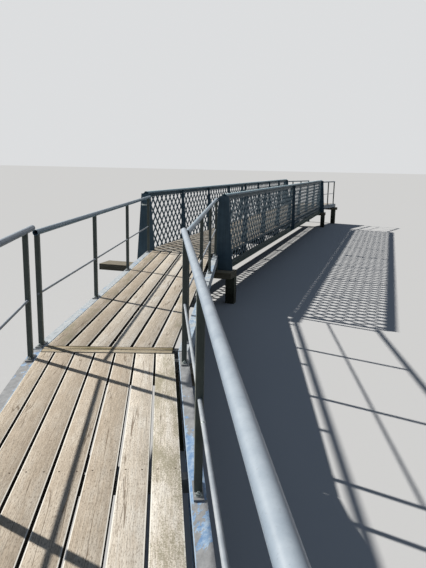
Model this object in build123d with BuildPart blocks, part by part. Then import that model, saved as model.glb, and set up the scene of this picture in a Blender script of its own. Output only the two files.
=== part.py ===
from build123d import *
import os
from math import cos, radians, sin, tan

os.makedirs("parts", exist_ok=True)

# Main span, millimetres. +Y runs along the span, +Z is up, z = 0 is the foot of the piles
bay = 1830
bays = 8
girder_spacing = 1470
deck_height = 880
girder_top = 1060
girder_bottom = -280
panel_bays = 2

# Chords: two angle legs each side of the lattice, a flange plate and a half-round cap
flange_t = 8
leg_t = 8
top_leg = 62
bottom_leg = 86
top_flange = 110
bottom_flange = 166
cap_w = 84
cap_h = 30

# Lattice of flat bars in two layers
rows = 6
bar_w = 42
bar_t = 7

# End plates and stiffener plates, wider at the foot
end_plate_t = 12
end_plate_top = 175
end_plate_foot = 374
stiffener_t = 10
stiffener_top = 60
stiffener_foot = 145
mid_plate_top = 85
mid_plate_foot = 115

# Floor of the main span
plank_t = 50
deck_side_gap = 10
notch_gap = 3
stringer_w = 75
stringer_h = 100
stringer_step = 480
stringer_count = 3
cross_w = 80
cross_t = 7
cross_inset = 60
joint_gap = 3
plate_gap = 6

# Approaches: channel edge beams, boards along the walk, angle bearers
beam_spacing = 1220
beam_h = 150
beam_flange = 80
beam_t = 8
beam_drop = 8
board_t = 45
shore_board = 150
shore_last_board = 110
shore_gap = 15
near_board = 167
near_gap = 14
near_boards = 6
shore_boards = 7
shore_shift = -15
near_shift = -20
bearer_leg = 75
bearer_t = 8
bearer_ahead = 210
bearer_inset = 75
bearer_past_strip = 112

# Railings: square posts on base plates, tube handrail, round midrail
post_w = 40
post_wall = 4
post_r = 5
rail_d = 48.3
rail_wall = 4
midrail_d = 20
plate_w = 50
plate_l = 170
plate_t = 10
seat = 0.3
weld = 1
shore_rail = 1010
shore_midrail = 470
near_rail = 965
near_midrail = 450

# Timber supports
pile_w = 160
pile_half = 880
pile_y = 60
sill_w = 400
sill_h = 110
sill_half = 960
sill_wing = 1570
sill_centre = -60
cap_beam_w = 250
cap_beam_h = 110
cap_beam_l = 1500
block_l = 120

# Joints of the walk: bearing of each approach from the main span, in degrees to the right
near_bend = -13.9
shore_bend = -21.95
far_bend = 15.0
near_axis_x = -28
far_axis_x = 0
near_length = 5650
shore_length = 6000
far_length = 2200
strip_w = 140
strip_t = 50
slot = 20
beam_end_gap = 6

# End posts of each approach, from its two ends; the others stand evenly between them
shore_posts = 4
shore_left_first = 195
shore_right_first = 325
shore_last_post = 150
near_posts = 4
near_left_first = 65
near_right_first = 330
near_left_last = 70
near_right_last = 270
far_posts = 3
far_left_first = 300
far_right_first = 600
far_last_post = 200
rail_past_joint = 15
rail_past_post = 35

span_length = bay * bays
half = girder_spacing / 2
chord_face = bar_t + seat + leg_t
cap_base = girder_top - cap_h
flange_under = cap_base - flange_t
girder_seat = girder_bottom + flange_t
lattice_bottom = girder_seat + seat
lattice_h = flange_under - seat - lattice_bottom
panel_len = bay * panel_bays
bars_per_panel = round(panel_len * rows / lattice_h)
lattice_pitch = panel_len / bars_per_panel
stringer_under = -plank_t - stringer_h
beam_half = beam_spacing / 2
beam_under = -beam_drop - beam_h
sill_under = girder_bottom - sill_h
cap_beam_under = beam_under - cap_beam_h
near_mitre = (near_bend - shore_bend) / 2
plate_clear = end_plate_t + plate_gap


def at(x, y, z=0.0):
    """A point of the main span, from the middle of its near end at floor level."""
    return (x - pile_half, y - pile_y, deck_height + z)


def heading(x, y, bend):
    """Floor plane of an approach: local Y runs along the walk."""
    a = radians(bend)
    return Plane(origin=at(x, y), x_dir=(cos(a), -sin(a), 0), z_dir=(0, 0, 1))


def section(floor, x, y, z=0.0):
    """Upright plane across a walk, drawn in width and height; extrude(-length) goes onward."""
    place = floor.from_local_coords((x, y, z))
    return Plane(origin=place, x_dir=floor.x_dir, z_dir=-floor.y_dir)


def save(built, name):
    built.part.label = name
    export_step(built.part, f"parts/{name}.step")


span_floor = heading(0, 0, 0)

# One lattice panel, two bays long, drawn about its own centre
with BuildPart() as panel:
    for lean, thick in ((45, bar_t), (-45, -bar_t)):
        with BuildSketch(Plane.YZ) as layer:
            with GridLocations(lattice_pitch, 0, bars_per_panel + rows - 1, 1):
                Rectangle(lattice_h * 2, bar_w, rotation=lean)
            Rectangle(panel_len, lattice_h, mode=Mode.INTERSECT)
        extrude(amount=thick)

# Girder sides: lattice panels, chords, end plates and stiffener plates
for side, x, inward in (("left", -half, 1), ("right", half, -1)):
    for k in range(bays // panel_bays):
        with BuildPart() as placed:
            with Locations(at(x, (k + 0.5) * panel_len, lattice_bottom + lattice_h / 2)):
                add(panel.part)
        save(placed, f"{side}_lattice_{k + 1}")

    leg_x = chord_face - leg_t / 2
    with BuildPart() as top:
        with BuildSketch(section(span_floor, x, 0)) as profile:
            with Locations((0, cap_base)):
                Ellipse(cap_w / 2, cap_h)
            with Locations((0, cap_base - cap_h)):
                Rectangle(cap_w, cap_h * 2, mode=Mode.SUBTRACT)
            with Locations((0, cap_base - flange_t / 2)):
                Rectangle(top_flange, flange_t)
            with Locations((-leg_x, flange_under - top_leg / 2), (leg_x, flange_under - top_leg / 2)):
                Rectangle(leg_t, top_leg)
        extrude(amount=-span_length)
    save(top, f"{side}_top_chord")

    with BuildPart() as bottom:
        with BuildSketch(section(span_floor, x, 0)) as profile:
            with Locations((0, girder_bottom + flange_t / 2)):
                Rectangle(bottom_flange, flange_t)
            with Locations((-leg_x, girder_seat + bottom_leg / 2), (leg_x, girder_seat + bottom_leg / 2)):
                Rectangle(leg_t, bottom_leg)
        extrude(amount=-span_length)
    save(bottom, f"{side}_bottom_chord")

    with BuildPart() as ends:
        for y in (-end_plate_t, span_length):
            with BuildSketch(section(span_floor, x, y)) as outline:
                with BuildLine():
                    Polyline((-end_plate_foot / 2, girder_bottom), (end_plate_foot / 2, girder_bottom),
                             (end_plate_top / 2, flange_under), (-end_plate_top / 2, flange_under),
                             close=True)
                make_face()
            extrude(amount=-end_plate_t)
    save(ends, f"{side}_end_plates")

    with BuildPart() as stiffeners:
        for k in range(1, bays):
            with BuildSketch(section(span_floor, x, k * bay - stiffener_t / 2)) as outline:
                with BuildLine():
                    Polyline((inward * chord_face, stringer_under), (inward * stiffener_foot, stringer_under),
                             (inward * stiffener_top, flange_under), (inward * chord_face, flange_under),
                             close=True)
                make_face()
            extrude(amount=-stiffener_t)
    save(stiffeners, f"{side}_stiffeners")

# Outer plate at the middle of each girder
with BuildPart() as mid_plates:
    for x, outward in ((-half, -1), (half, 1)):
        with BuildSketch(section(span_floor, x, span_length / 2 - stiffener_t / 2)) as outline:
            with BuildLine():
                Polyline((outward * chord_face, girder_seat), (outward * mid_plate_foot, girder_seat),
                         (outward * mid_plate_top, flange_under), (outward * chord_face, flange_under),
                         close=True)
            make_face()
        extrude(amount=-stiffener_t)
save(mid_plates, "mid_plates")

# Cross beams of the main span, one at each bay line, on the lower flanges
cross_len = 2 * (half - chord_face)
cross_h = stringer_under - girder_seat
with BuildPart() as cross_beams:
    for k in range(bays + 1):
        y = min(max(k * bay, cross_inset), span_length - cross_inset)
        with BuildSketch(Plane(origin=at(-cross_len / 2, y, girder_seat), x_dir=(0, 1, 0),
                               z_dir=(1, 0, 0))) as rolled:
            with Locations((0, cross_t / 2), (0, cross_h - cross_t / 2)):
                Rectangle(cross_w, cross_t)
            with Locations((0, cross_h / 2)):
                Rectangle(cross_t, cross_h)
        extrude(amount=cross_len)
save(cross_beams, "cross_beams")

with BuildPart() as stringers:
    with BuildSketch(section(span_floor, 0, joint_gap)) as profile:
        with Locations((0, stringer_under + stringer_h / 2)):
            with GridLocations(stringer_step, 0, stringer_count, 1):
                Rectangle(stringer_w, stringer_h)
    extrude(amount=-(span_length - 2 * joint_gap))
save(stringers, "stringers")

# Floor of the main span, notched round the stiffener plates
floor_half = half - chord_face - deck_side_gap
notch = half - floor_half
with BuildPart() as main_deck:
    with BuildSketch(span_floor) as outline:
        with Locations((0, span_length / 2)):
            Rectangle(2 * floor_half, span_length - 2 * joint_gap)
            with GridLocations(girder_spacing, bay, 2, bays - 1):
                Rectangle(2 * (stiffener_foot + notch_gap), stiffener_t + 2 * notch_gap, mode=Mode.SUBTRACT)
    extrude(amount=-plank_t)
save(main_deck, "main_deck")


def evenly(first, last, count):
    """Places of count posts from first to last."""
    return [first + k * (last - first) / (count - 1) for k in range(count)]


def reach(line, x):
    """Place along the walk where a skew end line crosses x: (place on the axis, slope)."""
    return line[0] + line[1] * x


def approach(name, floor, start, end, beam_start, beam_end, widths, gap, shift, left_posts, right_posts,
             bearers, rail_z, midrail_z, rail_ends):
    """One steel approach: beams, bearers, boards, posts with midrail, handrails."""
    inner = beam_half - beam_flange / 2
    outer = beam_half + beam_flange / 2
    with BuildPart() as beams:
        for hand in (-1, 1):
            y0 = max(reach(beam_start, hand * inner), reach(beam_start, hand * outer))
            y1 = min(reach(beam_end, hand * inner), reach(beam_end, hand * outer))
            with BuildSketch(section(floor, hand * beam_half, y0, -beam_drop)) as channel:
                with Locations((0, -beam_t / 2), (0, beam_t / 2 - beam_h)):
                    Rectangle(beam_flange, beam_t)
                with Locations((hand * (beam_flange - beam_t) / 2, -beam_h / 2)):
                    Rectangle(beam_t, beam_h)
            extrude(amount=-(y1 - y0))
    save(beams, f"{name}_edge_beams")

    web_to_web = 2 * (outer - beam_t)
    with BuildPart() as angles:
        for y in bearers:
            with BuildSketch(Plane(origin=floor.from_local_coords((-web_to_web / 2, y, -board_t)),
                                   x_dir=floor.y_dir, z_dir=floor.x_dir)) as angle:
                with Locations((0, -bearer_t / 2)):
                    Rectangle(bearer_leg, bearer_t)
                with Locations((bearer_t / 2 - bearer_leg / 2, -bearer_leg / 2)):
                    Rectangle(bearer_t, bearer_leg)
            extrude(amount=web_to_web)
    save(angles, f"{name}_bearers")

    total = sum(widths) + gap * (len(widths) - 1)
    x0 = shift - total / 2
    x1 = shift + total / 2
    with BuildPart() as boards:
        with BuildSketch(floor) as outline:
            long = reach(end, 0) - reach(start, 0) + total
            x = x0
            for w in widths:
                with Locations((x + w / 2, (reach(end, 0) + reach(start, 0)) / 2)):
                    Rectangle(w, long)
                x += w + gap
            with BuildLine():
                Polyline((x0, reach(start, x0)), (x1, reach(start, x1)),
                         (x1, reach(end, x1)), (x0, reach(end, x0)), close=True)
            make_face(mode=Mode.INTERSECT)
        extrude(amount=-board_t)
    save(boards, f"{name}_boards")

    for side, hand, posts in (("left", -1, left_posts), ("right", 1, right_posts)):
        with BuildPart() as uprights:
            with BuildSketch(floor.offset(-beam_drop)) as plates:
                with Locations(*[(hand * beam_half, y) for y in posts]):
                    Rectangle(plate_w, plate_l)
            extrude(amount=plate_t)
            with BuildSketch(floor.offset(plate_t - beam_drop)) as tubes:
                with Locations(*[(hand * beam_half, y) for y in posts]):
                    RectangleRounded(post_w, post_w, post_r)
                    Rectangle(post_w - 2 * post_wall, post_w - 2 * post_wall, mode=Mode.SUBTRACT)
            extrude(amount=rail_z - plate_t + beam_drop)
            for y0, y1 in zip(posts[:-1], posts[1:]):
                with BuildSketch(section(floor, hand * beam_half, y0 + post_w / 2 - weld, midrail_z)) as bar:
                    Circle(midrail_d / 2)
                extrude(amount=-(y1 - y0 - post_w + 2 * weld))
            with BuildSketch(section(floor, hand * beam_half, posts[0] - post_w, rail_z)) as groove:
                Circle(rail_d / 2 + seat)
            extrude(amount=-(posts[-1] - posts[0] + 2 * post_w), mode=Mode.SUBTRACT)
            with BuildSketch(floor.offset(rail_z)) as trim:
                with Locations((hand * beam_half, (posts[0] + posts[-1]) / 2)):
                    Rectangle(2 * post_w, posts[-1] - posts[0] + 2 * post_w)
            extrude(amount=post_w, mode=Mode.SUBTRACT)
        save(uprights, f"{name}_{side}_posts")

    with BuildPart() as rails:
        for hand, (y0, y1) in zip((-1, 1), rail_ends):
            with BuildSketch(section(floor, hand * beam_half, y0, rail_z)) as ring:
                Circle(rail_d / 2)
                Circle(rail_d / 2 - rail_wall, mode=Mode.SUBTRACT)
            extrude(amount=-(y1 - y0))
    save(rails, f"{name}_handrails")


mitre = tan(radians(near_mitre))
near_skew = tan(radians(near_bend))
far_skew = tan(radians(far_bend))
a = radians(near_bend)
near_floor = heading(near_axis_x - near_length * sin(a), -near_length * cos(a), near_bend)
joint_x = near_axis_x - near_length * sin(a)
joint_y = -near_length * cos(a)
shore_floor = heading(joint_x, joint_y, shore_bend)
far_floor = heading(far_axis_x, span_length, far_bend)
joint_floor = heading(joint_x, joint_y, (near_bend + shore_bend) / 2)

# Shore approach, its end mitred at the strip
shore_left = evenly(shore_last_post - shore_length, -shore_left_first, shore_posts)
shore_right = evenly(shore_last_post - shore_length, -shore_right_first, shore_posts)
shore_end = -strip_w / 2 - slot
shore_widths = [shore_last_board] + [shore_board] * (shore_boards - 1)
shore_bearers = [y + bearer_ahead for y in shore_right[:-1]] + [shore_end - bearer_inset]
shore_rail_ends = [(posts[0] - rail_past_post, reach((rail_past_joint, -mitre), hand * beam_half))
                   for hand, posts in ((-1, shore_left), (1, shore_right))]
approach("shore", shore_floor, (-shore_length, 0), (shore_end, -mitre), (-shore_length, 0),
         (-beam_end_gap, -mitre), shore_widths, shore_gap, shore_shift, shore_left, shore_right,
         shore_bearers, shore_rail, shore_midrail, shore_rail_ends)

# Near approach, from the strip to the main span
near_left = evenly(near_left_first, near_length - near_left_last, near_posts)
near_right = evenly(near_right_first, near_length - near_right_last, near_posts)
near_end = near_length - plate_clear / cos(a)
near_start = strip_w / 2 + near_gap / 2
near_bearers = [near_start + bearer_past_strip, *[y + bearer_ahead for y in near_right[1:-1]]]
near_bearers.append(near_right[-1] - bearer_inset)
near_rail_ends = [(posts[0] - rail_past_post, reach((near_end - plate_gap, near_skew), hand * beam_half))
                  for hand, posts in ((-1, near_left), (1, near_right))]
approach("near", near_floor, (near_start, mitre), (near_end, near_skew), (beam_end_gap, mitre),
         (near_end, near_skew), [near_board] * near_boards, near_gap, near_shift, near_left, near_right,
         near_bearers, near_rail, near_midrail, near_rail_ends)

# Far approach, leaving the main span to the right
far_start = plate_clear / cos(radians(far_bend))
far_left = evenly(far_left_first, far_length - far_last_post, far_posts)
far_right = evenly(far_right_first, far_length - far_last_post, far_posts)
far_rail_ends = [(reach((far_start + rail_d / 2, far_skew), hand * beam_half), posts[-1] + rail_past_post)
                 for hand, posts in ((-1, far_left), (1, far_right))]
approach("far", far_floor, (far_start, far_skew), (far_length, 0), (far_start, far_skew), (far_length, 0),
         [near_board] * near_boards, near_gap, 0, far_left, far_right,
         [far_right[0]] + [y - bearer_ahead for y in far_right[1:]], near_rail, near_midrail,
         far_rail_ends)

# Cross timber where the shore and near approaches meet, and its packing
deck_w = near_boards * near_board + (near_boards - 1) * near_gap
with BuildPart() as strip:
    with BuildSketch(joint_floor):
        with Locations((near_shift, 0)):
            Rectangle(deck_w + near_gap, strip_w)
    extrude(amount=-strip_t)
save(strip, "joint_strip")

# Timber supports: wide sills under the girder ends, cap beams under the approaches, piles
with BuildPart() as sills:
    for y, x0 in ((sill_centre, -sill_wing), (span_length - sill_centre, -sill_half)):
        with BuildSketch(span_floor.offset(girder_bottom)):
            with Locations(((x0 + sill_half) / 2, y)):
                Rectangle(sill_half - x0, sill_w)
        extrude(amount=-sill_h)
save(sills, "sills")

shore_cap_y = -shore_length + cap_beam_w / 2
far_cap_y = far_length - cap_beam_w / 2
with BuildPart() as cap_beams:
    for floor, y in ((shore_floor, shore_cap_y), (joint_floor, 0), (far_floor, far_cap_y)):
        with BuildSketch(floor.offset(beam_under)):
            with Locations((0, y)):
                Rectangle(cap_beam_l, cap_beam_w)
        extrude(amount=-cap_beam_h)
save(cap_beams, "cap_beams")

with BuildPart() as blocks:
    with BuildSketch(joint_floor.offset(-strip_t)):
        with Locations((near_shift, 0)):
            Rectangle(deck_w, strip_w)
    extrude(amount=beam_under + strip_t)
    for floor, line, way in ((near_floor, (near_end, near_skew), -1), (far_floor, (far_start, far_skew), 1)):
        for hand in (-1, 1):
            edges = [reach(line, hand * beam_half + k * beam_flange / 2) for k in (-1, 1)]
            y = (min(edges) if way < 0 else max(edges)) + way * block_l / 2
            with BuildSketch(floor.offset(girder_bottom)):
                with Locations((hand * beam_half, y)):
                    Rectangle(beam_flange, block_l)
            extrude(amount=beam_under - girder_bottom)
save(blocks, "bearing_blocks")

with BuildPart() as span_piles:
    with BuildSketch(span_floor.offset(-deck_height)):
        with Locations(*[(x, y) for x in (-pile_half, pile_half) for y in (pile_y, span_length - pile_y)]):
            Rectangle(pile_w, pile_w)
    extrude(amount=deck_height + sill_under)
save(span_piles, "span_piles")

with BuildPart() as approach_piles:
    for floor, y in ((shore_floor, shore_cap_y), (joint_floor, 0), (far_floor, far_cap_y)):
        with BuildSketch(floor.offset(-deck_height)):
            with Locations((-beam_half, y), (beam_half, y)):
                Rectangle(pile_w, pile_w)
        extrude(amount=deck_height + cap_beam_under)
save(approach_piles, "approach_piles")
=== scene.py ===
# %% [markdown]
# # Iron footbridge with lattice girders
# Two riveted lattice girders carry a narrow walk, and railed steel approaches bend towards them
# at both ends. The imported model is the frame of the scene: steel and heavy timber keep their
# solids and get finishes, the floors are laid board by board, and rivets, bolts, nails and small
# fittings go on top.

# %% Load the frame
import bmesh
import bpy
import numpy as np
from math import cos, pi, radians, sin, tan
from mathutils import Matrix, Vector


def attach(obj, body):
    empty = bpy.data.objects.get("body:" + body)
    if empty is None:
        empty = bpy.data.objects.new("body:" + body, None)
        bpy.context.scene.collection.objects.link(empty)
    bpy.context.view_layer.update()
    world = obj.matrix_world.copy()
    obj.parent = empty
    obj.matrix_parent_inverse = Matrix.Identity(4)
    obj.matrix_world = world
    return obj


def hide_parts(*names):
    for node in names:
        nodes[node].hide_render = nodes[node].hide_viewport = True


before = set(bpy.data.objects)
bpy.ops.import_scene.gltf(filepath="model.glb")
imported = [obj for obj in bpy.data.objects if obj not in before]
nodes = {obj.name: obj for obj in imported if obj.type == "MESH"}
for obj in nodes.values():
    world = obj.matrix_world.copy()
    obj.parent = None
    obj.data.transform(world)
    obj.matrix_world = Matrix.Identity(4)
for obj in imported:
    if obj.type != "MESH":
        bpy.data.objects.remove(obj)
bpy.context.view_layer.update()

rng = np.random.default_rng(7)

# %% [markdown]
# ## Where things are
# Everything is in metres: +Y along the main span, z = 0 at the foot of the piles. Each approach
# is a straight walk that bears off by a few degrees, so it is easiest to think in its own plan, x
# across and y along, with z = 0 at floor level. One matrix for each walk then puts a board or a
# bolt where it belongs, which spares working out slanting coordinates by hand.

# %% Plan of the walks
# Top of the floors, and where the middle line of the span starts
FLOOR = 0.88
MID_X, START_Y = -0.88, -0.06
BAY, BAYS = 1.83, 8
SPAN = BAY * BAYS
# Middle planes of the girders, and of the posts on their edge beams, from the middle of the walk
GIRDER_X, BEAM_X = 0.735, 0.61
# Bends in degrees from the line of the span, and lengths along each walk
NEAR_BEND, SHORE_BEND, FAR_BEND = -13.9, -21.95, 15.0
NEAR_LENGTH, SHORE_LENGTH, FAR_LENGTH = 5.65, 6.0, 2.2
# The near approach's middle line meets that of the span a little to its left
JOINT_SHIFT = -0.028


def walk(x, y, bend):
    """Matrix from a walk's own plan to the frame."""
    start = Matrix.Translation((x + MID_X, y + START_Y, FLOOR))
    return start @ Matrix.Rotation(-radians(bend), 4, "Z")


near_turn = radians(NEAR_BEND)
joint = (JOINT_SHIFT - NEAR_LENGTH * sin(near_turn), -NEAR_LENGTH * cos(near_turn))
MAIN = walk(0, 0, 0)
NEAR = walk(*joint, NEAR_BEND)
SHORE = walk(*joint, SHORE_BEND)
JOINT = walk(*joint, (NEAR_BEND + SHORE_BEND) / 2)
FAR = walk(0, SPAN, FAR_BEND)
mitre = tan(radians((NEAR_BEND - SHORE_BEND) / 2))
print("the approaches meet at", [round(v, 3) for v in joint])

# %% [markdown]
# ## Making a piece
# bmesh is Blender's mesh kit: it starts from a circle, a grid or a few points, and operators
# push, spin and bevel them as a workshop would. A finished piece has its faces turned outwards,
# gets its material, and is told to ride on the bridge, which has one rigid body.

# %% From bmesh to piece
def piece(name, bm, material, crease, replaces=()):
    """Makes a bmesh a piece of the bridge; edges sharper than crease degrees stay crisp."""
    bmesh.ops.recalc_face_normals(bm, faces=bm.faces)
    mesh = bpy.data.meshes.new(name)
    bm.to_mesh(mesh)
    bm.free()
    mesh.materials.append(material)
    mesh.shade_smooth()
    mesh.set_sharp_from_angle(angle=radians(crease))
    obj = bpy.data.objects.new(name, mesh)
    bpy.context.scene.collection.objects.link(obj)
    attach(obj, "root")
    for node in replaces:
        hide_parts(node)
    print(name, len(mesh.polygons), "faces")
    return obj


print("new pieces will stand beside", len(nodes), "nodes")

# %% [markdown]
# ## Building a finish
# A material is a small graph of nodes. Colours are written as the hex codes a paint chart would
# give, and turned to the linear light that Blender counts in. One function adds a node, sets it
# and links it, so a finish reads from top to bottom like a recipe. Inputs go by name, or by
# number where a node has several of one name: a Math node counts them from 0, and a Mix node has
# its two colours at 6 and 7.

# %% Colours and nodes
NOISE, RAMP, BUMP = "ShaderNodeTexNoise", "ShaderNodeValToRGB", "ShaderNodeBump"
MATH, VECTOR_MATH = "ShaderNodeMath", "ShaderNodeVectorMath"
MAPPING, MIX, RANGE = "ShaderNodeMapping", "ShaderNodeMix", "ShaderNodeMapRange"
COORDS, SPLIT_XYZ = "ShaderNodeTexCoord", "ShaderNodeSeparateXYZ"
# A Mix node's inputs: how much of the coat lies over the base
SHARE, BASE, COAT = 0, 6, 7
COLOURS = {"out": 2, "data_type": "RGBA"}


def srgb(code):
    """Linear colour of a #rrggbb code."""
    parts = [int(code[i:i + 2], 16) / 255 for i in (1, 3, 5)]
    light = [v / 12.92 if v <= 0.04045 else ((v + 0.055) / 1.055) ** 2.4 for v in parts]
    return tuple(light) + (1.0,)


def paintable(value):
    """A hex code as a colour, and a number as a grey."""
    return srgb(value) if isinstance(value, str) else (value, value, value, 1.0)


def add(mat, kind, inputs=None, out=0, stops=(), **settings):
    """Adds one node, sets its options and inputs, and gives back one of its outputs."""
    node = mat.node_tree.nodes.new(kind)
    for key, value in settings.items():
        setattr(node, key, value)
    for key, value in (inputs or {}).items():
        if isinstance(value, bpy.types.NodeSocket):
            mat.node_tree.links.new(value, node.inputs[key])
        else:
            node.inputs[key].default_value = srgb(value) if isinstance(value, str) else value
    for k, (position, colour) in enumerate(stops):
        ramp = node.color_ramp.elements
        element = ramp[k] if k < 2 else ramp.new(position)
        element.position = position
        element.color = paintable(colour)
    return node.outputs[out]


def new_finish(name, roughness, metallic=0.0, gloss=0.5):
    """A material and its shader, whose even values are set on the shader itself."""
    mat = bpy.data.materials.new(name)
    mat.use_nodes = True
    shader = mat.node_tree.nodes["Principled BSDF"]
    shader.inputs["Roughness"].default_value = roughness
    shader.inputs["Metallic"].default_value = metallic
    shader.inputs["Specular IOR Level"].default_value = gloss
    return mat, shader


def feed(mat, shader, **patterns):
    """Links patterns to the shader's inputs."""
    for key, source in patterns.items():
        mat.node_tree.links.new(source, shader.inputs[key.replace("_", " ")])


print("a mid grey of #808080 is", round(srgb("#808080")[0], 3), "in linear light")

# %% [markdown]
# ## Places on a walk
# Some solids carry more than one finish: that of a row of posts has the midrail, painted pale as a
# highlight, and the worn foot plates in it, and a beam's flange has a line along its edge. Such a
# place could be cut
# out as a mesh, but it is easier to find it by its distance from the walk's own lines. A Mapping
# node turns a place in the frame into one in the walk's plan.

# %% Places on a walk
MIDRAIL_Z = {"shore": 0.470, "near": 0.450, "far": 0.450}
# The midrail's bar has a radius of 10 mm, and a foot plate's top lies 2 mm above the floor; each
# reach goes just past that
MIDRAIL_REACH, PLATE_REACH = 0.0112, 0.0025


def on_walk(mat, where, floor):
    """A place in a walk's own plan, with its left side folded onto its right."""
    plan = floor.inverted()
    spot = add(mat, MAPPING, {"Vector": where, "Location": plan.to_translation(),
                              "Rotation": plan.to_euler()})
    return add(mat, VECTOR_MATH, {0: spot}, operation="ABSOLUTE")


print("midrails at", MIDRAIL_Z, "m above the floor")

# %% [markdown]
# ## Paint on the ironwork
# The girders and posts carry many coats of brushed alkyd paint, slate blue or dark grey. Brushing
# leaves a slightly uneven gloss, rain leaves darker runs down upright faces, and rust comes
# through in spots. Whatever faces the sky is painted paler, partly the sun's chalky bloom and
# partly a painted highlight, strongest on the top chord's cap. The upward share is read from the
# surface's normal, so a cap is painted pale and the plate under it isn't. One recipe serves them
# all, with other colours and shares. On the posts it paints the midrail pale silver grey as a
# painted highlight, and the foot plates worn to grey primer.

# %% Brushed alkyd paint
# Colours of the midrail's painted highlight, and of the foot plates worn to grey primer
MIDRAIL_HIGHLIGHT_STOPS = ((0.0, "#97A1AC"), (1.0, "#B4BCC4"))
PLATE_STOPS = ((0.0, "#84878A"), (1.0, "#A0A1A3"))
RUST = "#5B4433"


def brushed_paint(name, fresh, faded, chalk_and_highlight, chalk_and_highlight_share, rust_share, roughness=0.5, bar=None):
    """Paint on rolled iron; bar is the walk and the height of the midrail in a row of posts."""
    mat, shader = new_finish(name, roughness, gloss=0.25)
    where = add(mat, COORDS, out="Object")
    normal = add(mat, "ShaderNodeNewGeometry", out="Normal")
    up = add(mat, SPLIT_XYZ, {"Vector": normal}, out="Z")
    # Fading patches about 120 mm wide
    patch = add(mat, NOISE, {"Vector": where, "Scale": 8.0, "Detail": 5.0, "Roughness": 0.65})
    patch = add(mat, RAMP, {"Fac": patch}, stops=((0.38, 0.0), (0.66, 1.0)))
    tint = add(mat, MIX, {SHARE: patch, BASE: fresh, COAT: faded}, **COLOURS)
    # Rain runs 15 to 40 mm wide and half a metre long
    fall = add(mat, MAPPING, {"Vector": where, "Scale": (26.0, 26.0, 1.6)})
    run = add(mat, NOISE, {"Vector": fall, "Scale": 1.0, "Detail": 4.0, "Roughness": 0.6})
    run = add(mat, RAMP, {"Fac": run}, stops=((0.35, 0.86), (0.6, 1.04)))
    tint = add(mat, MIX, {SHARE: 1.0, BASE: tint, COAT: run}, **COLOURS, blend_type="MULTIPLY")
    # Chalk and a painted highlight lie on faces that look up
    chalk_and_highlight_lift = add(mat, MATH, {0: up, 1: chalk_and_highlight_share}, operation="MULTIPLY", use_clamp=True)
    tint = add(mat, MIX, {SHARE: chalk_and_highlight_lift, BASE: tint, COAT: chalk_and_highlight}, **COLOURS)
    # Rust spots of 10 to 25 mm, drawn a little coarser than the real pinpricks so that they show
    spot = add(mat, NOISE, {"Vector": where, "Scale": 36.0, "Detail": 8.0, "Roughness": 0.75})
    spot = add(mat, RAMP, {"Fac": spot}, stops=((1.0 - rust_share, 0.0), (1.03 - rust_share, 0.9)))
    tint = add(mat, MIX, {SHARE: spot, BASE: tint, COAT: RUST}, **COLOURS)
    if bar:
        floor, height = bar
        # Distance from the bar's middle line, along which the walk's y is left out
        away = add(mat, VECTOR_MATH, {0: on_walk(mat, where, floor), 1: (BEAM_X, 0.0, height)},
                   operation="SUBTRACT")
        away = add(mat, VECTOR_MATH, {0: away, 1: (1.0, 0.0, 1.0)}, operation="MULTIPLY")
        away = add(mat, VECTOR_MATH, {0: away}, out="Value", operation="LENGTH")
        above = add(mat, SPLIT_XYZ, {"Vector": where}, out="Z")
        # The midrail is painted pale as a highlight, and the foot plates are worn to grey primer
        for measure, reach, stops in ((away, MIDRAIL_REACH, MIDRAIL_HIGHLIGHT_STOPS),
                                      (above, FLOOR + PLATE_REACH, PLATE_STOPS)):
            inside = add(mat, MATH, {0: measure, 1: reach}, operation="LESS_THAN")
            sheen_and_wear = add(mat, RAMP, {"Fac": patch}, stops=stops)
            tint = add(mat, MIX, {SHARE: inside, BASE: tint, COAT: sheen_and_wear}, **COLOURS)
    # Brush marks, 6 mm apart here and finer on the real paint
    brush = add(mat, NOISE, {"Vector": where, "Scale": 170.0, "Detail": 3.0, "Roughness": 0.7})
    rough = add(mat, RANGE, {"Value": brush, "To Min": roughness - 0.12,
                             "To Max": roughness + 0.16})
    relief = add(mat, BUMP, {"Height": brush, "Distance": 0.0004, "Strength": 0.5})
    feed(mat, shader, Base_Color=tint, Roughness=rough, Normal=relief)
    return mat


girder_paint = brushed_paint("slate_blue_alkyd_paint", "#4F6778", "#587182", "#8EA3A6",
                             chalk_and_highlight_share=0.6, rust_share=0.27)
# The top chord's cap is painted pale where it faces up, as chalk and a painted highlight
cap_paint = brushed_paint("chalked_and_highlit_slate_paint", "#28434F", "#385767", "#B9D8E4",
                          chalk_and_highlight_share=1.1, rust_share=0.25)
foot_paint = brushed_paint("stained_slate_paint", "#213335", "#2F4242", "#50635F",
                           chalk_and_highlight_share=0.5, rust_share=0.31, roughness=0.62)
post_paint = {}
for name, floor in (("shore", SHORE), ("near", NEAR), ("far", FAR)):
    post_paint[name] = brushed_paint(f"grey_green_alkyd_paint_{name}", "#5A6463", "#68726F",
                                     "#9BA3A0", chalk_and_highlight_share=0.4, rust_share=0.27,
                                     roughness=0.42, bar=(floor, MIDRAIL_Z[name]))
print("brushed paint for girders, chords and posts")
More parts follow.
